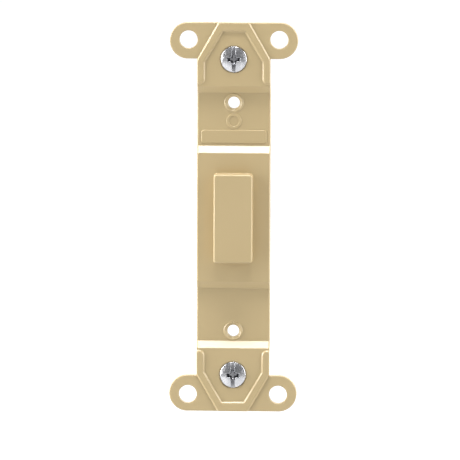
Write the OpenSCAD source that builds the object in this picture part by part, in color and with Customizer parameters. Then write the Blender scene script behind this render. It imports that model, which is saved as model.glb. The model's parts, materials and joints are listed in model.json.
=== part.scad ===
// Blank insert that fills the toggle opening of a wall plate: a moulded mounting strap
// with a raised block, four snap-off plaster ears and two captive mounting screws.
// Millimetres. The front faces -Y, +X is right, +Z is up and y = 0 is the wall surface.
// The origin is on the wall surface, midway between the two mounting screws.

/* [Strap] */
// Overall height of the strap
strap_h = 102.7; // [101:0.1:104]
// Width of the strap between the ears
strap_w = 19.2; // [18.6:0.1:20]
// Thickness of the moulded wall
wall = 2.0; // [1.7:0.1:2.2]
// How far the plate-screw sections sit behind the rest of the front
step_depth = 1.55; // [1:0.05:2.2]
// Height over which each step slopes
step_run = 1.8; // [1.2:0.05:2.2]
// Height above the centre at which a screw section ends
screw_section_z = 34.6; // [34:0.05:35]
// Height above the centre at which the middle platform ends
platform_z = 17.0; // [16:0.1:18]

/* [Raised rib] */
// How far the rib stands above the screw section
rib_h = 0.4; // [0.2:0.05:0.6]
// Half width of the rib's outer outline at the top edge of the strap
rib_top_x = 4.15; // [3.8:0.05:4.6]
// Half width of the pocket inside the rib, at its top edge
pocket_top_x = 3.0; // [2.5:0.1:3.2]
// Height above the centre of the pocket's top edge
pocket_top_z = 49.0; // [48:0.1:49.5]
// Half width of the pocket inside the rib, along the strap's sides
pocket_x = 7.7; // [7.2:0.1:8]
// Height above the centre at which the pocket's sides turn upright
pocket_turn_z = 41.0; // [40.5:0.1:41.5]
// Height above the centre of the rib's rounded lower ends
rib_end_z = 35.3; // [35.2:0.1:36.5]

/* [Ears] */
// Distance across the ears
ears_w = 33.6; // [33:0.1:34.4]
// Height of one ear
ear_h = 9.55; // [9.3:0.05:10]
// Distance between the ear holes, side to side
ear_hole_dx = 23.76; // [23.4:0.02:24.2]
// Distance between the ear holes, top to bottom
ear_hole_dz = 93.7; // [93.2:0.1:94.2]
// Diameter of an ear hole
ear_hole_d = 4.7; // [4:0.1:5]
// Depth of the score groove behind each ear
score_depth = 0.6; // [0.3:0.1:0.8]

/* [Block] */
// Width of the block that fills the toggle opening
block_w = 10.15; // [9.8:0.05:10.2]
// Height of the block that fills the toggle opening
block_z = 23.4; // [23.2:0.1:23.7]
// How far the block stands out of the middle platform
block_out = 3.6; // [3:0.1:5]
// Wall of the hollow block
block_wall = 1.8; // [1.4:0.1:2]
// Corner radius of the block, seen from the front
block_r = 0.8; // [0.4:0.1:1.2]
// Thickness of the ribs inside the hollow block
web_t = 1.2; // [0.8:0.1:1.5]

/* [Plate screw holes] */
// Distance between the two wall-plate screw holes
plate_hole_dz = 60.325; // [60.3:0.005:60.35]
// Diameter of a wall-plate screw hole
plate_hole_d = 3.1; // [2.8:0.05:3.2]
// Diameter of the chamfer at the mouth of the hole
plate_mouth_d = 3.7; // [3.4:0.1:3.9]
// Depth of that chamfer
plate_mouth_depth = 0.3; // [0.2:0.1:0.6]
// Outer diameter of the raised bead round the hole
bead_d = 4.9; // [4.7:0.1:5.2]
// Width of the bead
bead_w = 0.4; // [0.3:0.05:0.5]
// How far the bead stands out
bead_h = 0.15; // [0.1:0.05:0.25]

/* [Back] */
// Width of each stiffening rail along the back edges
rail_t = 1.5; // [1.2:0.1:2]
// How far the rails reach behind the wall surface
rail_y = 4.0; // [3:0.1:5]
// Half length of the rails
rail_z = 33.0; // [30:0.5:34]

/* [Blank marks] */
// Width of the plain raised pad above the block
pad_w = 17.0; // [14:0.5:17.5]
// Height of the plain raised pad
pad_h = 3.4; // [2.5:0.1:3.6]
// Height above the centre of the pad's middle
pad_z = 21.2; // [21:0.1:21.5]
// Diameter of the plain raised ring above the pad
ring_d = 3.9; // [3:0.1:4.2]
// Width of the plain raised ring
ring_w = 0.5; // [0.4:0.1:0.8]
// Height above the centre of the ring's middle
ring_z = 25.3; // [25.1:0.1:25.6]
// How far the pad and the ring stand out
mark_h = 0.15; // [0.1:0.05:0.3]

/* [Mounting screws] */
// Distance between the two mounting screws
screw_dz = 83.34; // [83.3:0.01:83.4]
// Length of a screw under its head
screw_len = 19.05; // [15.9:0.05:25.4]
// Diameter of the thread
screw_d = 3.5; // [3.4:0.05:3.6]
// Diameter of the neck between the head and the thread
neck_d = 2.9; // [2.7:0.05:3]
// Diameter of the head
head_d = 6.9; // [6.6:0.1:7.2]
// Height of the head
head_h = 2.0; // [1.8:0.1:2.5]
// Diameter of the round pocket that the head sits in
seat_d = 7.1; // [7:0.1:7.6]
// Depth of that pocket
seat_depth = 1.0; // [0.4:0.1:1.2]
// Diameter of the chamfer at the pocket's mouth
seat_mouth_d = 7.4; // [7.2:0.1:8.2]
// Depth of that chamfer
seat_mouth_depth = 0.15; // [0.1:0.05:0.4]
// Diameter of the hole in the strap that the screw passes through
screw_hole_d = 4.2; // [3.8:0.1:4.6]

/* [Screw drive] */
// Width of the straight slot
slot_w = 1.0; // [0.8:0.1:1.2]
// Depth of the straight slot
slot_depth = 0.9; // [0.6:0.1:1.1]
// Span of the cross recess
cross_d = 3.7; // [3.2:0.1:4]
// Depth of the cross recess
cross_depth = 1.5; // [1.2:0.1:1.7]

/* [Retainers] */
// Side of the square retaining washer
retainer_w = 9.0; // [8:0.1:10]
// Thickness of the retaining washer
retainer_t = 0.8; // [0.6:0.1:1]
// Distance that a screw can be drawn forwards before its washer meets the strap
screw_float = 6.0; // [4:0.1:7]
// Radial clearance between a retaining washer and the screw's neck
retainer_gap = 0.05; // [0.02:0.01:0.1]

/* [Hidden] */
$fn = 96;

PLASTIC = [0.79, 0.71, 0.55];
FIBRE = [0.46, 0.33, 0.22];
ZINC = "silver";

cut = 1;                            // how far a cutting shape runs past what it cuts
front_y = -wall;                    // front of the screw sections, ears and platform
sunk_y = front_y + step_depth;      // front of the plate-screw sections
top_z = strap_h / 2;
side_x = strap_w / 2;
ear_r = ear_h / 2;
ear_x = ears_w / 2 - ear_r;
ear_z = top_z - ear_r;
ear_low_z = top_z - ear_h;
screw_z = screw_dz / 2;
seat_y = front_y + seat_depth;      // the face that a screw head bears on
tip_y = seat_y + screw_len;
thread_y = screw_float + retainer_t + 0.2;   // where a screw's thread starts
tip_run = 1.0;                      // length of the tapered tip
core_d = screw_d * 0.7;             // diameter of the tip's flat end
fold = wall * tan(atan2(step_depth, step_run) / 2);   // shift of a bend between front and back

// Extrudes a front-view shape from y = near to y = far
module facing(near, far) {
    translate([0, far, 0]) rotate([90, 0, 0]) linear_extrude(far - near) children();
}

// Extrudes a side-view shape, drawn as (y, z), across a width centred on x = 0
module across(width) {
    rotate([90, 0, 90]) translate([0, 0, -width / 2]) linear_extrude(width) children();
}

// A round bar or hole along Y, from y = near to y = far
module round_y(d, near, far, d_far = undef) {
    translate([0, near, 0]) rotate([-90, 0, 0])
        cylinder(h = far - near, d1 = d, d2 = is_undef(d_far) ? d : d_far);
}

// Both ends of the strap
module both_ends() {
    children();
    mirror([0, 0, 1]) children();
}

// All four corners of the strap
module four_corners() {
    both_ends() {
        children();
        mirror([1, 0, 0]) children();
    }
}

// A rectangle with rounded corners, centred
module rounded_rect(w, h, r) {
    square([w - 2 * r, h], center = true);
    square([w, h - 2 * r], center = true);
    for (x = [-1, 1], z = [-1, 1])
        translate([x * (w / 2 - r), z * (h / 2 - r)]) circle(r = r);
}

// A flat ring of outer diameter d and width w
module flat_ring(d, w) {
    difference() {
        circle(d = d);
        circle(d = d - 2 * w);
    }
}

// The front view of the strap without its ears
module strap_outline() {
    corner = [[rib_top_x, top_z], [side_x, ear_low_z], [side_x, -ear_low_z], [rib_top_x, -top_z]];
    polygon(concat(corner, [for (i = [3:-1:0]) [-corner[i][0], corner[i][1]]]));
}

// The side view of the strap: one wall folded back and forth
module strap_profile() {
    bends = [[front_y, screw_section_z], [sunk_y, screw_section_z - step_run],
             [sunk_y, platform_z + step_run], [front_y, platform_z]];
    shifts = [fold, fold, -fold, -fold];
    front = concat([[front_y, top_z]], bends);
    back = concat([[front_y + wall, top_z]],
                  [for (i = [0:3]) [bends[i][0] + wall, bends[i][1] + shifts[i]]]);
    polygon(concat(front, [for (i = [4:-1:0]) [front[i][0], -front[i][1]]],
                   [for (p = back) [p[0], -p[1]]], [for (i = [4:-1:0]) back[i]]));
}

// The front view of one raised rib: an arch of constant width with two rounded ends
module rib_outline() {
    end_r = 1.2;                    // radius of the rounded inner corner at each end
    difference() {
        intersection() {
            strap_outline();
            translate([-side_x, rib_end_z + end_r]) square([strap_w, top_z]);
        }
        polygon([[-pocket_top_x, pocket_top_z], [pocket_top_x, pocket_top_z],
                 [pocket_x, pocket_turn_z], [pocket_x, rib_end_z], [-pocket_x, rib_end_z],
                 [-pocket_x, pocket_turn_z]]);
    }
    intersection() {
        strap_outline();
        for (s = [-1, 1]) mirror([s - 1, 0]) translate([pocket_x + end_r, rib_end_z]) {
            translate([0, end_r]) circle(r = end_r);
            square([end_r, 2 * end_r]);
        }
    }
}

// The line along which a top right ear snaps off
module score_groove() {
    run = [side_x - rib_top_x, ear_low_z - top_z];
    side = score_depth * sqrt(2);
    translate([rib_top_x, 0, top_z]) rotate([0, atan2(-run[1], run[0]), 0])
        translate([norm(run) / 2, 0, 0]) rotate([45, 0, 0])
            cube([norm(run) + 2 * cut, side, side], center = true);
}

// The two cells of the hollow block, open at the back, either side of a stiffening web
module block_hollow() {
    room_w = block_w - 2 * block_wall;
    room_h = (block_z - 2 * block_wall - web_t) / 2;
    both_ends() facing(front_y - block_out + block_wall, wall)
        translate([-room_w / 2, web_t / 2]) square([room_w, room_h]);
}

// Stiffening rails along the back edges, with sloped ends
module rails() {
    for (s = [-1, 1]) translate([s * (side_x - rail_t / 2), 0, 0])
        across(rail_t) polygon([[0, -rail_z - rail_y], [0, rail_z + rail_y],
                                [rail_y, rail_z], [rail_y, -rail_z]]);
}

module insert_strap() {
    color(PLASTIC) difference() {
        union() {
            intersection() {
                across(ears_w) strap_profile();
                facing(-strap_w, strap_w) strap_outline();
            }
            both_ends() facing(front_y - rib_h, front_y) rib_outline();
            facing(front_y - block_out, front_y) rounded_rect(block_w, block_z, block_r);
            rails();
            facing(sunk_y - mark_h, sunk_y) translate([0, pad_z]) rounded_rect(pad_w, pad_h, 0.6);
            facing(sunk_y - mark_h, sunk_y) translate([0, ring_z]) flat_ring(ring_d, ring_w);
            both_ends() facing(sunk_y - bead_h, sunk_y)
                translate([0, plate_hole_dz / 2]) flat_ring(bead_d, bead_w);
        }
        block_hollow();
        both_ends() translate([0, 0, screw_z]) {
            round_y(seat_d, front_y, seat_y);
            round_y(seat_mouth_d, front_y, front_y + seat_mouth_depth, seat_d);
            round_y(screw_hole_d, front_y, wall);
        }
        both_ends() translate([0, 0, plate_hole_dz / 2]) {
            round_y(plate_hole_d, sunk_y - cut, sunk_y + wall + cut);
            round_y(plate_mouth_d, sunk_y, sunk_y + plate_mouth_depth, plate_hole_d);
        }
        four_corners() score_groove();
    }
}

// One snap-off ear, drawn at the top right
module ear() {
    color(PLASTIC) difference() {
        facing(front_y, 0) difference() {
            union() {
                translate([ear_x, ear_z]) circle(r = ear_r);
                translate([rib_top_x, ear_low_z]) square([ear_x - rib_top_x, ear_h]);
            }
            strap_outline();
            translate([ear_hole_dx / 2, ear_hole_dz / 2]) circle(d = ear_hole_d);
        }
        score_groove();
    }
}

// One mounting screw, drawn on the Y axis with its head at the front
module screw() {
    crown_y = seat_y - head_h;
    edge_h = head_h * 0.45;
    color(ZINC) difference() {
        union() {
            round_y(head_d, seat_y - edge_h, seat_y);
            round_y(head_d * 0.62, crown_y, seat_y - edge_h, head_d);
            round_y(neck_d, seat_y, thread_y);
            round_y(screw_d, thread_y, tip_y - tip_run);
            round_y(screw_d, tip_y - tip_run, tip_y, core_d);
        }
        translate([-slot_w / 2, crown_y - cut, -head_d])
            cube([slot_w, slot_depth + cut, 2 * head_d]);
        for (a = [0, 90]) rotate([0, a, 0]) translate([-slot_w / 2, crown_y - cut, -cross_d / 2])
            cube([slot_w, cross_depth + cut, cross_d]);
    }
}

// One retaining washer with snipped corners, at the back end of the screw's neck
module retainer() {
    color(FIBRE) facing(screw_float, screw_float + retainer_t) difference() {
        intersection() {
            square(retainer_w, center = true);
            rotate(45) square(retainer_w * 1.22, center = true);
        }
        circle(d = neck_d + 2 * retainer_gap);
    }
}

module ear_top_left() { mirror([1, 0, 0]) ear(); }
module ear_top_right() { ear(); }
module ear_bottom_left() { mirror([1, 0, 0]) mirror([0, 0, 1]) ear(); }
module ear_bottom_right() { mirror([0, 0, 1]) ear(); }
module top_screw() { translate([0, 0, screw_z]) screw(); }
module bottom_screw() { translate([0, 0, -screw_z]) screw(); }
module top_retainer() { translate([0, 0, screw_z]) retainer(); }
module bottom_retainer() { translate([0, 0, -screw_z]) retainer(); }

insert_strap();
ear_top_left();
ear_top_right();
ear_bottom_left();
ear_bottom_right();
top_screw();
bottom_screw();
top_retainer();
bottom_retainer();
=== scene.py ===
"""Looks for a moulded blank insert on a mounting strap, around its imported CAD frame.

Every plastic and metal piece is described by a signed distance in millimetres, negative inside, with the
real part's rounded edges and fillets, and is then meshed on a grid that is fine only where the shape turns.
"""

import json
import math

import bmesh
import bpy
import numpy as np
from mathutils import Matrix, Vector


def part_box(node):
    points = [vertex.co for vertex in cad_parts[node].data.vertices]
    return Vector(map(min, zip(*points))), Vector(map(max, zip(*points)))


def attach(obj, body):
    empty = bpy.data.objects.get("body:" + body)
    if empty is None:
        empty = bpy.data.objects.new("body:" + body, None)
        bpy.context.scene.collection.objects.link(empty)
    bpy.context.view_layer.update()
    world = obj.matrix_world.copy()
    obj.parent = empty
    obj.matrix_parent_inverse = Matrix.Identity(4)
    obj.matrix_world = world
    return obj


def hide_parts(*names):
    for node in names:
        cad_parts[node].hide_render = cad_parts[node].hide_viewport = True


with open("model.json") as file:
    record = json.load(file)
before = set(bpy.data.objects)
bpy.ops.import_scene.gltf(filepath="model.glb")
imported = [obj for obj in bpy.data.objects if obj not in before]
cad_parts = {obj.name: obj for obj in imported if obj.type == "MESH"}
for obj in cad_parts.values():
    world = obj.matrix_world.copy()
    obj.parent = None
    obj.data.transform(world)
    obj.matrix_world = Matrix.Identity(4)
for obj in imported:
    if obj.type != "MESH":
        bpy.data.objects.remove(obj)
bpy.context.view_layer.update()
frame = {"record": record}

# ---------------------------------------------------------------- sizes, in millimetres

MM = 0.001                      # metres in one unit of the sizes below
MOUNTS = {m["name"]: m for m in frame["record"]["mounts"]}


def box_mm(node):
    """A CAD node's lowest and highest corners in millimetres."""
    low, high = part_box(node)
    return [v / MM for v in low], [v / MM for v in high]


(_, BLOCK_FRONT, _), (SIDE_X, RAIL_Y, TOP_Z) = box_mm("insert_strap")
(RIB_TOP_X, FRONT_Y, EAR_LOW_Z), (EAR_OUT_X, _, _) = box_mm("ear_top_right")
(_, CROWN_Y, _), (HEAD_R, TIP_Y, _) = box_mm("top_screw")
(_, RETAINER_NEAR, _), (RETAINER_HALF, RETAINER_FAR, _) = box_mm("top_retainer")

EAR_HOLES = MOUNTS["ear_holes"]["dims"]
PLATE_HOLES = MOUNTS["plate_screws"]["dims"]
SCREW_Z = MOUNTS["box_screw_top"]["pos_m"][2] / MM
THREAD_R = MOUNTS["box_screw_top"]["dims"]["r_mm"]

WALL = -FRONT_Y                 # the ears' back face is the wall surface, at y = 0
STEP_RUN = 1.8                  # height over which each step slopes
SUNK_Y = FRONT_Y + 1.55         # front of the plate-screw sections
SCREW_SECTION_Z = 34.6
PLATFORM_Z = 17.0
FOLD = WALL * math.tan(math.atan2(SUNK_Y - FRONT_Y, STEP_RUN) / 2)

RIB_H = 0.4
POCKET_TOP_X, POCKET_TOP_Z = 3.0, 49.0
POCKET_X, POCKET_TURN_Z = 7.7, 41.0
RIB_END_Z, RIB_END_R = 35.3, 1.2

EAR_R = (TOP_Z - EAR_LOW_Z) / 2
EAR_X = EAR_OUT_X - EAR_R
SCORE_DEPTH = 0.6

BLOCK_W, BLOCK_H, BLOCK_R = 10.15, 23.4, 0.8
BLOCK_EDGE_R = 0.5              # rounding between the block's face and its sides
BLOCK_WALL, WEB_T, CELL_R = 1.8, 1.2, 0.5
RAIL_T, RAIL_Z = 1.5, 33.0

PAD_W, PAD_H, PAD_R, PAD_Z = 17.0, 3.4, 0.6, 21.2
RING_R, RING_HALF_W, RING_Z = 1.95, 0.3, 25.3
MARK_H = 0.15

SEAT_R, SEAT_Y = 3.48, FRONT_Y + 1.0
SEAT_MOUTH_R, SEAT_MOUTH_DEPTH = 3.7, 0.15
SCREW_HOLE_R = 2.1
MOUTH_R, MOUTH_DEPTH = 1.85, 0.3  # the chamfer at a plate-screw hole
BEAD_R, BEAD_W, BEAD_H = 2.25, 0.4, 0.2
BURIED = 0.5                    # how far raised features reach under the front they stand on

PIN_R, PIN_DEPTH = 1.1, 0.12    # ejector marks, each at (x, z) on a back face at y
PINS = ((6.6, 6.0, 0.0), (5.2, 24.0, SUNK_Y + WALL))

NECK_R, ROOT_R = 1.45, 1.28
RECESS = "recess_depth"         # how deep a vertex lies in a screw's recess, which the steel turns into painted shade
THREAD_PITCH = 0.794            # 32 threads to the inch
THREAD_Y, THREAD_RUN_IN = RETAINER_FAR + 0.2, 0.5
DOME_R = 12.0                   # the crown of a screw's head
FLANK_R, FLANK_TILT = 2.35, math.radians(39)
SLOT_W, SLOT_DEPTH = 1.0, 0.9
CROSS_REACH, CROSS_DEPTH = 1.85, 1.5
CROSS_HALF_W, CROSS_CORE_R = 0.5, 1.0

# ---------------------------------------------------------------- distance fields


def round_max(a, b, r):
    """Intersection of two fields, with the edge between them rounded to radius r."""
    return np.minimum(np.maximum(a, b), -r) + np.hypot(np.maximum(a + r, 0), np.maximum(b + r, 0))


def round_min(a, b, r):
    """Union of two fields, with a fillet of radius r between them."""
    return -round_max(-a, -b, r)


def fillet(points, radius, step=math.radians(12)):
    """The outline through points with every corner turned into an arc."""
    points = [np.array(p, float) for p in points]
    out = []
    for before, at, after in zip(points[-1:] + points[:-1], points, points[1:] + points[:1]):
        back = (before - at) / np.linalg.norm(before - at)
        ahead = (after - at) / np.linalg.norm(after - at)
        half = math.acos(np.clip(back @ ahead, -1, 1)) / 2
        centre = at + (back + ahead) / np.linalg.norm(back + ahead) * radius / math.sin(half)
        start = at + back * radius / math.tan(half) - centre
        end = at + ahead * radius / math.tan(half) - centre
        turn = math.pi - 2 * half
        count = max(2, math.ceil(turn / step))
        for i in range(count + 1):
            t = i / count
            ray = (math.sin((1 - t) * turn) * start + math.sin(t * turn) * end) / math.sin(turn)
            out.append(centre + ray)
    return np.array(out)


def outline_field(points, u, v):
    """Signed distance in a plane from a closed outline."""
    nearest = np.inf
    inside = False
    for (au, av), (bu, bv) in zip(points, np.roll(points, -1, axis=0)):
        eu, ev = bu - au, bv - av
        t = np.clip(((u - au) * eu + (v - av) * ev) / (eu * eu + ev * ev), 0, 1)
        nearest = np.minimum(nearest, (u - au - eu * t) ** 2 + (v - av - ev * t) ** 2)
        if ev:
            inside = inside ^ (((av <= v) != (bv <= v)) & (u < au + (v - av) * eu / ev))
    return np.where(inside, -1, 1) * np.sqrt(nearest)


def rect_field(u, v, half_u, half_v, r):
    """Signed distance in a plane from a rounded rectangle centred on the origin."""
    du, dv = np.abs(u) - half_u + r, np.abs(v) - half_v + r
    return np.minimum(np.maximum(du, dv), 0) + np.hypot(np.maximum(du, 0), np.maximum(dv, 0)) - r


def score_side(x, z):
    """Signed distance from the line where a top right ear snaps off, positive on the ear's side."""
    run = np.array([SIDE_X - RIB_TOP_X, EAR_LOW_Z - TOP_Z])
    across = np.array([-run[1], run[0]]) / np.linalg.norm(run)
    return (x - RIB_TOP_X) * across[0] + (z - TOP_Z) * across[1]


def cut_score(field, side, y):
    """The V-shaped score groove behind an ear."""
    groove = (np.abs(side) + np.abs(y) - SCORE_DEPTH) / math.sqrt(2)
    return round_max(field, -groove, 0.08)


BEYOND = 70.0                   # further out than any piece, for outlines that other faces cut
EDGE_R = 0.3                    # rounding of the moulding's outer edges

front_bends = [(FRONT_Y, SCREW_SECTION_Z), (SUNK_Y, SCREW_SECTION_Z - STEP_RUN),
               (SUNK_Y, PLATFORM_Z + STEP_RUN), (FRONT_Y, PLATFORM_Z)]
shifts = (FOLD, FOLD, -FOLD, -FOLD)
middle_bends = [(y + WALL / 2, z + shift / 2) for (y, z), shift in zip(front_bends, shifts)]
back_bends = [(y + WALL, z + shift) for (y, z), shift in zip(front_bends, shifts)]
WALL_PROFILE = fillet([(FRONT_Y, BEYOND)] + front_bends + [(FRONT_Y, -BEYOND), (0, -BEYOND)]
                      + back_bends[::-1] + [(0, BEYOND)], 0.15)
RAIL_PROFILE = fillet([(-WALL / 2, -BEYOND), (RAIL_Y, -BEYOND), (RAIL_Y, RAIL_Z),
                       (-WALL / 2, RAIL_Z + RAIL_Y + WALL / 2)] + middle_bends, 0.3)
POCKET = fillet([(-POCKET_TOP_X, POCKET_TOP_Z), (POCKET_TOP_X, POCKET_TOP_Z),
                 (POCKET_X, POCKET_TURN_Z), (POCKET_X, 0), (-POCKET_X, 0),
                 (-POCKET_X, POCKET_TURN_Z)], 0.45)


def strap_field(x, y, z):
    """The strap with its block, ribs, rails, holes and blank marks."""
    ax, az = np.abs(x), np.abs(z)
    solid = outline_field(WALL_PROFILE, y, az)
    solid = round_min(solid, round_max(outline_field(RAIL_PROFILE, y, az),
                                       SIDE_X - RAIL_T - ax, 0.25), 0.3)
    rib_end = np.where((ax < POCKET_X + RIB_END_R) & (az < RIB_END_Z + RIB_END_R),
                       np.hypot(ax - POCKET_X - RIB_END_R, az - RIB_END_Z - RIB_END_R) - RIB_END_R,
                       RIB_END_Z - az)
    buried = y - FRONT_Y - BURIED
    side = score_side(ax, az)
    rise = FRONT_Y - y
    flank = np.maximum(np.maximum(-outline_field(POCKET, ax, az), rib_end) - RIB_H / 2, side) + rise
    rib = np.maximum(flank / math.sqrt(2), buried)
    solid = round_min(solid, round_max(rib, rise - RIB_H, 0.1), 0.08)
    block = rect_field(x, z, BLOCK_W / 2, BLOCK_H / 2, BLOCK_R)
    solid = round_min(solid, round_max(np.maximum(block, buried), BLOCK_FRONT - y, BLOCK_EDGE_R), 0.1)
    solid = round_max(solid, ax - SIDE_X, EDGE_R)
    solid = round_max(solid, az - TOP_Z, EDGE_R)
    solid = cut_score(round_max(solid, side, 0.05), side, y)
    for mark in (rect_field(x, z - PAD_Z, PAD_W / 2, PAD_H / 2, PAD_R),
                 np.abs(np.hypot(x, z - RING_Z) - RING_R + RING_HALF_W) - RING_HALF_W):
        solid = round_min(solid, round_max(np.maximum(mark, y - SUNK_Y - BURIED),
                                           SUNK_Y - MARK_H - y, 0.07), 0.08)
    cell_h = (BLOCK_H - 2 * BLOCK_WALL - WEB_T) / 2
    cell = rect_field(x, az - (WEB_T + cell_h) / 2, BLOCK_W / 2 - BLOCK_WALL, cell_h / 2, CELL_R)
    solid = round_max(solid, -round_max(cell, BLOCK_FRONT + BLOCK_WALL - y, 0.4), 0.2)
    from_screw = np.hypot(x, az - SCREW_Z)
    seat = np.maximum(SEAT_R, SEAT_MOUTH_R - (y - FRONT_Y) * (SEAT_MOUTH_R - SEAT_R) / SEAT_MOUTH_DEPTH)
    seat = (from_screw - np.minimum(seat, SEAT_MOUTH_R)) * 0.8
    solid = round_max(solid, -round_max(seat, y - SEAT_Y, 0.1), 0.12)
    solid = round_max(solid, SCREW_HOLE_R - from_screw, 0.12)
    from_plate = np.hypot(x, az - PLATE_HOLES["spacing_y_mm"] / 2)
    bead = (np.abs(from_plate - BEAD_R) - BEAD_W / 2 - 0.1 + SUNK_Y - y) / math.sqrt(2)
    bead = np.maximum(bead, y - SUNK_Y - BURIED)
    solid = round_min(solid, round_max(bead, SUNK_Y - BEAD_H - y, 0.06), 0.06)
    mouth = MOUTH_R - (y - SUNK_Y) * (MOUTH_R - PLATE_HOLES["hole_r_mm"]) / MOUTH_DEPTH
    mouth = np.clip(mouth, PLATE_HOLES["hole_r_mm"], MOUTH_R)
    solid = round_max(solid, (mouth - from_plate) * 0.8, 0.1)
    for pin_x, pin_z, back_y in PINS:
        pin = np.hypot(ax - pin_x, az - pin_z) - PIN_R
        solid = round_max(solid, -round_max(pin, back_y - PIN_DEPTH - y, 0.04), 0.05)
    return solid


def ear_field(x, y, z):
    """The top right ear."""
    body = np.hypot(np.maximum(x - EAR_X, 0), z - (TOP_Z - EAR_R)) - EAR_R
    body = round_max(body, np.abs(y - FRONT_Y / 2) - WALL / 2, EDGE_R)
    hole = np.hypot(x - EAR_HOLES["spacing_x_mm"] / 2, z - EAR_HOLES["spacing_y_mm"] / 2)
    body = round_max(body, EAR_HOLES["hole_r_mm"] - hole, 0.2)
    side = score_side(x, z)
    return cut_score(np.maximum(body, -side - 0.05), side, y)


def head_field(x, y, z):
    """A screw's pan head before its slot and recess are cut."""
    rho = np.hypot(x, z)
    dome = np.hypot(rho, y - CROWN_Y - DOME_R) - DOME_R
    flank = (rho - FLANK_R) * math.sin(FLANK_TILT) - (y - CROWN_Y) * math.cos(FLANK_TILT)
    return round_max(round_max(rho - HEAD_R, round_max(dome, flank, 0.8), 0.2), y - SEAT_Y, 0.12)


def screw_field(x, y, z):
    """A pan-head screw on the Y axis, with a slot and a cross recess, a neck and a rolled thread."""
    rho = np.hypot(x, z)
    head = head_field(x, y, z)
    depth = y - CROWN_Y
    slot = np.maximum(np.abs(x) - SLOT_W / 2, depth - SLOT_DEPTH)
    half, reach = CROSS_HALF_W - 0.12 * depth, CROSS_REACH - 0.6 * depth    # the wings taper inwards
    cross = np.minimum(np.maximum(np.abs(x) - half, np.abs(z) - reach),
                       np.maximum(np.abs(z) - half, np.abs(x) - reach))
    core = rho - CROSS_CORE_R + 0.3 * depth
    cross = np.maximum(np.minimum(cross, core), depth - CROSS_DEPTH)
    head = round_max(round_max(head, -slot, 0.08), -cross, 0.08)
    turns = (y - THREAD_Y) / THREAD_PITCH - np.arctan2(x, z) / (2 * math.pi)
    ridge = np.clip((np.abs(turns % 1 - 0.5) * 2 - 0.12) / 0.76, 0, 1)      # flat roots and crests
    ridge = ridge * ridge * (3 - 2 * ridge)
    start = np.clip((y - THREAD_Y) / THREAD_RUN_IN, 0, 1)
    surface = NECK_R + start * (ROOT_R - NECK_R + (THREAD_R - ROOT_R) * ridge)
    surface = np.minimum(surface, ROOT_R - 0.15 + 0.55 * (TIP_Y - y))
    shank = round_max(np.maximum((rho - surface) * 0.8, SEAT_Y - 0.5 - y), y - TIP_Y, 0.1)
    return round_min(head, shank, 0.15)


def retainer_field(x, y, z):
    """A square fibre washer with snipped corners."""
    plate = np.maximum(rect_field(x, z, RETAINER_HALF, RETAINER_HALF, 0.2),
                       (np.abs(x) + np.abs(z)) / math.sqrt(2) - RETAINER_HALF * 1.22)
    slab = np.abs(y - (RETAINER_NEAR + RETAINER_FAR) / 2) - (RETAINER_FAR - RETAINER_NEAR) / 2
    return round_max(round_max(plate, slab, 0.1), NECK_R + 0.05 - np.hypot(x, z), 0.08)


# ---------------------------------------------------------------- meshing


OFF_LINE = 0.031                # keeps grid lines off the flat faces, which lie at round numbers


def graded(low, high, fine, coarse, spans):
    """Grid lines from low to high: fine steps inside the spans, coarse ones between them."""
    stops = [low]
    for a, b in sorted(spans):
        a, b = max(a, low), min(b, high)
        if a > stops[-1]:
            stops.append(a)
        if b > stops[-1]:
            stops.append(b)
    stops.append(high)
    lines = [np.array([low])]
    for a, b in zip(stops, stops[1:]):
        middle = (a + b) / 2
        step = fine if any(s[0] <= middle <= s[1] for s in spans) else coarse
        if b - a > 1e-6:
            lines.append(np.linspace(a, b, max(1, math.ceil((b - a) / step)) + 1)[1:])
    return np.concatenate(lines) + OFF_LINE


def gradient(field, p, h=0.004):
    """The field's gradient at points p, by central differences."""
    out = np.empty_like(p)
    for axis in range(3):
        q = p.copy()
        q[:, axis] += h
        ahead = field(*q.T)
        q[:, axis] -= 2 * h
        out[:, axis] = (ahead - field(*q.T)) / (2 * h)
    return out


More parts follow.
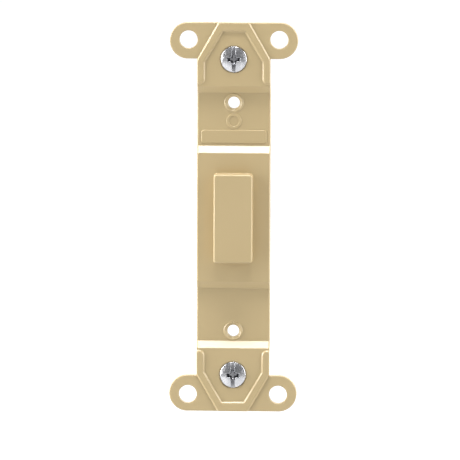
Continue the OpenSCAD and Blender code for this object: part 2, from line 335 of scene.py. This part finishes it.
def surface_net(field, x, y, z):
    """Vertices and outward quads of the field's zero surface on the grid of lines x, y and z."""
    value = np.ascontiguousarray(np.broadcast_to(
        field(x[:, None, None], y[None, :, None], z[None, None, :]), (len(x), len(y), len(z))))
    inside = value < 0
    lines = (x, y, z)
    cells = np.array(value.shape) - 1
    total = np.zeros((*cells, 3), np.float32)
    count = np.zeros(cells, np.uint8)
    crossed = []
    for axis in range(3):
        low = [slice(None)] * 3
        high = [slice(None)] * 3
        low[axis], high[axis] = slice(None, -1), slice(1, None)
        change = inside[tuple(low)] != inside[tuple(high)]
        at = np.argwhere(change)
        a = value[tuple(low)][change]
        b = value[tuple(high)][change]
        point = np.stack([lines[k][at[:, k]] for k in range(3)], axis=1)
        width = lines[axis][at[:, axis] + 1] - lines[axis][at[:, axis]]
        point[:, axis] += width * a / (a - b)
        crossed.append((at, inside[tuple(low)][change]))
        others = [k for k in range(3) if k != axis]
        for step_1 in (0, 1):
            for step_2 in (0, 1):
                cell = at.copy()
                cell[:, others[0]] -= step_1
                cell[:, others[1]] -= step_2
                ok = ((cell >= 0) & (cell < cells)).all(axis=1)
                index = tuple(cell[ok].T)
                total[index] += point[ok]
                count[index] += 1
    used = count > 0
    number = np.full(cells, -1, np.int64)
    number[used] = np.arange(used.sum())
    points = (total[used] / count[used][:, None]).astype(float)
    quads = []
    for axis, (at, first_inside) in enumerate(crossed):
        k1, k2 = (axis + 1) % 3, (axis + 2) % 3
        corners = []
        for step_1, step_2 in ((0, 0), (1, 0), (1, 1), (0, 1)):
            cell = at.copy()
            cell[:, k1] -= step_1
            cell[:, k2] -= step_2
            corners.append(number[tuple(cell.T)])
        quad = np.stack(corners, axis=1)
        quad[~first_inside] = quad[~first_inside][:, ::-1]
        quads.append(quad)
    return points, np.concatenate(quads)


def thinned(mesh, keep):
    """A copy of a mesh with the given share of its faces, the flat ones going first."""
    bulk = bpy.data.objects.new("bulk", mesh)
    bpy.context.collection.objects.link(bulk)
    bulk.modifiers.new("thin", "DECIMATE").ratio = keep
    thin = bpy.data.meshes.new_from_object(bulk.evaluated_get(bpy.context.evaluated_depsgraph_get()))
    bpy.data.objects.remove(bulk)
    bpy.data.meshes.remove(mesh)
    return thin


def solid_mesh(name, field, grid, keep=1.0):
    """A mesh of a field's zero surface, with the field's own normals."""
    points, quads = surface_net(field, *grid)
    mesh = bpy.data.meshes.new(name)
    mesh.vertices.add(len(points))
    mesh.vertices.foreach_set("co", (points * MM).ravel())
    mesh.loops.add(quads.size)
    mesh.loops.foreach_set("vertex_index", quads.ravel())
    mesh.polygons.add(len(quads))
    mesh.polygons.foreach_set("loop_start", np.arange(0, quads.size, 4))
    mesh.update(calc_edges=True)
    if keep < 1:
        mesh = thinned(mesh, keep)
    flat = np.empty(3 * len(mesh.vertices))
    mesh.vertices.foreach_get("co", flat)
    points = flat.reshape(-1, 3) / MM
    for _ in range(2):
        normals = gradient(field, points)
        steep = np.maximum((normals ** 2).sum(1), 0.2)
        points -= normals * (field(*points.T) / steep)[:, None] * 0.9
    mesh.vertices.foreach_set("co", (points * MM).ravel())
    mesh.shade_smooth()
    normals /= np.maximum(np.linalg.norm(normals, axis=1), 1e-9)[:, None]
    mesh.normals_split_custom_set_from_vertices(normals)
    return mesh


def mark_recess(mesh, blank):
    """Stores how many millimetres each vertex lies inside an uncut field, so that recesses can be painted
    dark as shade.
    """
    flat = np.empty(3 * len(mesh.vertices))
    mesh.vertices.foreach_get("co", flat)
    x, y, z = flat.reshape(-1, 3).T / MM
    depth = np.where(y < SEAT_Y - 0.2, np.maximum(-blank(x, y, z), 0), 0)
    mesh.attributes.new(RECESS, "FLOAT", "POINT").data.foreach_set("value", depth)


def solid_piece(name, shape, place=(0, 0, 0), flips=(1, 1)):
    """An object with its own copy of a mesh, mirrored in x and z by flips and moved to place."""
    turn = np.array([flips[0], 1, flips[1]])
    mesh = shape.copy()
    mesh.name = name
    at = np.empty(3 * len(mesh.vertices))
    mesh.vertices.foreach_get("co", at)
    normals = np.empty(3 * len(mesh.loops))
    mesh.corner_normals.foreach_get("vector", normals)
    corner = np.empty(len(mesh.loops), int)
    mesh.loops.foreach_get("vertex_index", corner)
    at_vertex = np.empty((len(mesh.vertices), 3))
    at_vertex[corner] = normals.reshape(-1, 3)
    mesh.vertices.foreach_set("co", (at.reshape(-1, 3) * turn + np.array(place) * MM).ravel())
    if flips[0] * flips[1] < 0:
        mesh.flip_normals()
    mesh.normals_split_custom_set_from_vertices(at_vertex * turn)
    piece = bpy.data.objects.new(name, mesh)
    bpy.context.collection.objects.link(piece)
    return piece


def both_signs(spans):
    """The spans and their mirror images."""
    return spans + [(-b, -a) for a, b in spans]


FINE, COARSE = ((0.13, 0.7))
MARGIN = 0.4


def strap_grid():
    """Grid lines for the strap, fine wherever it has an edge, a hole or a mark."""
    x = graded(-SIDE_X - MARGIN, SIDE_X + MARGIN, FINE, FINE, [])
    y_spans = [(BLOCK_FRONT - 0.15, BLOCK_FRONT + 0.65), (BLOCK_FRONT + BLOCK_WALL - 0.15,
               BLOCK_FRONT + BLOCK_WALL + 0.55), (FRONT_Y - RIB_H - 0.2, FRONT_Y + 0.4),
               (SEAT_Y - 0.25, SEAT_Y + 0.2), (SUNK_Y - 0.5, 0.5),
               (SUNK_Y + WALL - 0.45, SUNK_Y + WALL + 0.45),
               (RAIL_Y - 0.6, RAIL_Y + 0.2)]
    y = graded(BLOCK_FRONT - MARGIN, RAIL_Y + MARGIN, 0.1, 0.4, y_spans)
    z_spans = both_signs([(SCREW_SECTION_Z - STEP_RUN - 0.4, TOP_Z + MARGIN),
                          (PLATE_HOLES["spacing_y_mm"] / 2 - 2.6, PLATE_HOLES["spacing_y_mm"] / 2 + 2.6),
                          (PLATFORM_Z - 1.3, PLATFORM_Z + STEP_RUN + 0.4),
                          (BLOCK_H / 2 - BLOCK_WALL - 0.6, BLOCK_H / 2 + 0.6),
                          (-WEB_T, WEB_T)])
    z_spans += both_signs([(pin_z - PIN_R - 0.2, pin_z + PIN_R + 0.2) for _, pin_z, _ in PINS])
    z_spans += [(PAD_Z - PAD_H / 2 - 0.3, PAD_Z + PAD_H / 2 + 0.3), (RING_Z - 2.3, RING_Z + 2.3)]
    z = graded(-TOP_Z - MARGIN, TOP_Z + MARGIN, FINE, COARSE, z_spans)
    return x, y, z


def ear_grid():
    """Grid lines for one ear."""
    x = graded(RIB_TOP_X - MARGIN, EAR_OUT_X + MARGIN, FINE, FINE, [])
    y = graded(FRONT_Y - MARGIN, MARGIN, 0.1, 0.1, [])
    z = graded(EAR_LOW_Z - MARGIN, TOP_Z + MARGIN, FINE, FINE, [])
    return x, y, z


def screw_grid():
    """Grid lines for one screw, about its own axis."""
    step = 0.075
    across = graded(-HEAD_R - 0.2, HEAD_R + 0.2, step, step, [])
    along = graded(CROWN_Y - 0.2, TIP_Y + 0.2, step, step, [])
    return across, along, across


def retainer_grid():
    """Grid lines for one retaining washer, about its own axis."""
    across = graded(-RETAINER_HALF - 0.3, RETAINER_HALF + 0.3, 0.1, 0.1, [])
    along = graded(RETAINER_NEAR - 0.2, RETAINER_FAR + 0.2, 0.08, 0.08, [])
    return across, along, across


# ---------------------------------------------------------------- materials


def new_material(name):
    """A node material, its node tree, and its Principled shader."""
    material = bpy.data.materials.new(name)
    material.use_nodes = True
    tree = material.node_tree
    return material, tree, tree.nodes["Principled BSDF"]


def noise(tree, scale, detail=3.0, roughness=0.5):
    """A noise texture in object space, scale in features per metre."""
    place = tree.nodes.new("ShaderNodeTexCoord")
    texture = tree.nodes.new("ShaderNodeTexNoise")
    texture.inputs["Scale"].default_value = scale
    texture.inputs["Detail"].default_value = detail
    texture.inputs["Roughness"].default_value = roughness
    tree.links.new(place.outputs["Object"], texture.inputs["Vector"])
    return texture.outputs["Fac"]


def ramp(tree, value, stops):
    """A colour ramp over value, with stops of (position, colour)."""
    node = tree.nodes.new("ShaderNodeValToRGB")
    elements = node.color_ramp.elements
    while len(elements) < len(stops):
        elements.new(0.5)
    for element, (position, colour) in zip(elements, stops):
        element.position = position
        element.color = (*colour, 1)
    tree.links.new(value, node.inputs["Fac"])
    return node.outputs["Color"]


def spread(tree, value, low, high):
    """Value mapped from the middle of its range to low and high."""
    node = tree.nodes.new("ShaderNodeMapRange")
    node.inputs["From Min"].default_value = 0.3
    node.inputs["From Max"].default_value = 0.7
    node.inputs["To Min"].default_value = low
    node.inputs["To Max"].default_value = high
    tree.links.new(value, node.inputs["Value"])
    return node.outputs["Result"]


def bump(tree, value, distance, strength, below=None):
    """A bump of the given height in metres, on top of another one if given."""
    node = tree.nodes.new("ShaderNodeBump")
    node.inputs["Distance"].default_value = distance
    node.inputs["Strength"].default_value = strength
    tree.links.new(value, node.inputs["Height"])
    if below is not None:
        tree.links.new(below, node.inputs["Normal"])
    return node.outputs["Normal"]


def ivory_plastic():
    """Glossy ivory moulding: faint flow mottling, a fine orange peel and slightly uneven gloss."""
    material, tree, shader = new_material("ivory_plastic")
    colour = ramp(tree, noise(tree, 60, 2), [(0.3, (0.453, 0.352, 0.189)), (0.7, (0.465, 0.362, 0.196))])
    tree.links.new(colour, shader.inputs["Base Color"])
    tree.links.new(spread(tree, noise(tree, 220, 2), 0.25, 0.262), shader.inputs["Roughness"])
    peel = bump(tree, noise(tree, 500, 1), 0.00001, 0.06)
    grain = bump(tree, noise(tree, 9000, 2), 0.000003, 0.15, peel)
    tree.links.new(grain, shader.inputs["Normal"])
    shader.inputs["IOR"].default_value = 1.5
    return material


def plated_steel():
    """Bright zinc plating: soft cloudy tint, uneven polish, fine tool marks, and painted shade that darkens
    the recesses.
    """
    material, tree, shader = new_material("plated_steel")
    colour = ramp(tree, noise(tree, 700, 3), [(0.3, (0.46, 0.47, 0.50)), (0.7, (0.63, 0.63, 0.65))])
    depth = tree.nodes.new("ShaderNodeAttribute")
    depth.attribute_name = RECESS
    # painted shade: the colour falls to near black the deeper a point lies in the slot and cross recess
    painted_recess_shade = ramp(tree, depth.outputs["Fac"],
                [(0.2, (1.0, 1.0, 1.0)), (0.8, (0.45, 0.45, 0.46)), (0.99, (0.08, 0.08, 0.085))])
    tint = tree.nodes.new("ShaderNodeMixRGB")
    tint.blend_type = "MULTIPLY"
    tint.inputs["Fac"].default_value = 1.0
    tree.links.new(colour, tint.inputs["Color1"])
    tree.links.new(painted_recess_shade, tint.inputs["Color2"])
    tree.links.new(tint.outputs["Color"], shader.inputs["Base Color"])
    shader.inputs["Metallic"].default_value = 1.0
    tree.links.new(spread(tree, noise(tree, 1800, 4), 0.14, 0.34), shader.inputs["Roughness"])
    dents = bump(tree, noise(tree, 1300, 2), 0.00006, 0.5)
    tree.links.new(bump(tree, noise(tree, 8000, 3), 0.000006, 0.4, dents), shader.inputs["Normal"])
    return material


def pressed_fibre():
    """Vulcanised fibre: dull brown sheet with flecks and a felted surface."""
    material, tree, shader = new_material("pressed_fibre")
    colour = ramp(tree, noise(tree, 2600, 6, 0.7),
                  [(0.3, (0.13, 0.075, 0.04)), (0.5, (0.2, 0.12, 0.068)), (0.72, (0.33, 0.21, 0.12))])
    tree.links.new(colour, shader.inputs["Base Color"])
    tree.links.new(spread(tree, noise(tree, 1500, 4), 0.6, 0.85), shader.inputs["Roughness"])
    tree.links.new(bump(tree, noise(tree, 5200, 5, 0.65), 0.00004, 0.6), shader.inputs["Normal"])
    return material


def studio_floor():
    """The plain floor: pale grey in front of the part, white behind it with a faint glow, painted light
    that keeps the backdrop white.
    """
    material, tree, shader = new_material("studio_floor")
    place = tree.nodes.new("ShaderNodeTexCoord")
    split = tree.nodes.new("ShaderNodeSeparateXYZ")
    tree.links.new(place.outputs["Object"], split.inputs["Vector"])
    behind = tree.nodes.new("ShaderNodeMapRange")
    behind.inputs["From Min"].default_value = 0.2
    behind.inputs["From Max"].default_value = 1.2
    tree.links.new(split.outputs["Y"], behind.inputs["Value"])
    colour = ramp(tree, behind.outputs["Result"], [(0.0, (0.52, 0.52, 0.52)), (1.0, (0.97, 0.97, 0.97))])
    tree.links.new(colour, shader.inputs["Base Color"])
    tree.links.new(spread(tree, noise(tree, 2, 2), 0.85, 0.95), shader.inputs["Roughness"])
    # painted light: the floor behind the part glows faintly, though it is no lamp
    glow = tree.nodes.new("ShaderNodeMath")
    glow.operation = "MULTIPLY"
    glow.inputs[1].default_value = 0.14
    tree.links.new(behind.outputs["Result"], glow.inputs[0])
    shader.inputs["Emission Color"].default_value = (1, 1, 1, 1)
    tree.links.new(glow.outputs["Value"], shader.inputs["Emission Strength"])
    return material


# ---------------------------------------------------------------- camera, light and floor


def aim(thing, at):
    """Turns a camera or a light towards a point."""
    thing.rotation_euler = (Vector(at) - thing.location).to_track_quat("-Z", "Y").to_euler()


def place_camera(distance=1.5, azimuth=2.4, elevation=6.5, lens=446.6, roll=0.18):
    """The camera of a product shot: far off, a little above and to the right, nearly square on."""
    a, e = math.radians(azimuth), math.radians(elevation)
    camera = bpy.data.objects.new("camera", bpy.data.cameras.new("camera"))
    camera.data.lens = lens
    camera.data.sensor_width = 36.0
    target = Vector((-0.00095, 0.0, -0.0035))
    away = Vector((math.sin(a) * math.cos(e), -math.cos(a) * math.cos(e), math.sin(e)))
    camera.location = distance * away
    aim(camera, target)
    camera.rotation_euler.rotate_axis("Z", math.radians(roll))
    bpy.context.collection.objects.link(camera)
    bpy.context.scene.camera = camera


def soft_box(name, place, size, power, at=(0, 0, 0)):
    """A rectangular area light, with its size in metres and its power in watts."""
    light = bpy.data.lights.new(name, "AREA")
    light.shape = "RECTANGLE"
    light.size, light.size_y = size
    light.energy = power
    lamp = bpy.data.objects.new(name, light)
    lamp.location = place
    bpy.context.collection.objects.link(lamp)
    aim(lamp, at)
    return lamp


def light_studio():
    """A white surround that is dimmer in front, with soft boxes above and at both sides."""
    world = bpy.data.worlds.new("studio")
    bpy.context.scene.world = world
    world.use_nodes = True
    tree = world.node_tree
    place = tree.nodes.new("ShaderNodeTexCoord")
    split = tree.nodes.new("ShaderNodeSeparateXYZ")
    tree.links.new(place.outputs["Generated"], split.inputs["Vector"])
    strength = tree.nodes.new("ShaderNodeMapRange")
    strength.inputs["From Min"].default_value = -0.15
    strength.inputs["From Max"].default_value = 0.15
    strength.inputs["To Min"].default_value = 0.3
    strength.inputs["To Max"].default_value = 1.5
    tree.links.new(split.outputs["Y"], strength.inputs["Value"])
    tree.links.new(strength.outputs["Result"], tree.nodes["Background"].inputs["Strength"])
    tree.nodes["Background"].inputs["Color"].default_value = (1, 1, 1, 1)
    soft_box("top_box", (0.0, -0.51, 2.1), (1.15, 0.42), 42.0)
    soft_box("left_box", (-0.95, -0.15, 0.25), (0.5, 0.9), 18.0)
    soft_box("right_box", (0.95, -0.15, 0.25), (0.5, 0.9), 10.5)
    scene = bpy.context.scene
    scene.view_settings.view_transform = "Standard"
    scene.view_settings.look = "None"


def lay_floor(z=-0.35, half=30.0):
    """A plain pale floor well below the part."""
    work = bmesh.new()
    bmesh.ops.create_grid(work, x_segments=4, y_segments=4, size=half)
    mesh = bpy.data.meshes.new("floor")
    work.to_mesh(mesh)
    work.free()
    floor = bpy.data.objects.new("floor", mesh)
    floor.location = (0, 0, z)
    bpy.context.collection.objects.link(floor)
    mesh.materials.append(studio_floor())


# ---------------------------------------------------------------- the part


def finish_piece(piece, material, body, node):
    """Gives a piece its material and body, and lets it stand for its CAD node."""
    piece.data.materials.append(material)
    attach(piece, body)
    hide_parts(node)


def build():
    """All the pieces of the insert."""
    ivory, steel, fibre = ivory_plastic(), plated_steel(), pressed_fibre()
    strap = solid_piece("strap_moulding", solid_mesh("strap", strap_field, strap_grid(), 0.3))
    finish_piece(strap, ivory, "strap", "insert_strap")
    ear_shape = solid_mesh("ear", ear_field, ear_grid(), 0.3)
    screw_shape = solid_mesh("screw", screw_field, screw_grid())
    mark_recess(screw_shape, head_field)
    washer_shape = solid_mesh("washer", retainer_field, retainer_grid(), 0.3)
    for up, flip_z in (("top", 1), ("bottom", -1)):
        for hand, flip_x in (("left", -1), ("right", 1)):
            ear = solid_piece(f"plaster_ear_{up}_{hand}", ear_shape, flips=(flip_x, flip_z))
            finish_piece(ear, ivory, "strap", f"ear_{up}_{hand}")
        place = (0, 0, flip_z * SCREW_Z)
        screw = solid_piece(f"mounting_screw_{up}", screw_shape, place)
        finish_piece(screw, steel, f"{up}_screw", f"{up}_screw")
        washer = solid_piece(f"fibre_washer_{up}", washer_shape, place)
        finish_piece(washer, fibre, f"{up}_retainer", f"{up}_retainer")


place_camera()
light_studio()
lay_floor()
build()


def corners(box):
    """A box as plain lists of numbers."""
    return [[float(v) for v in corner] for corner in box]
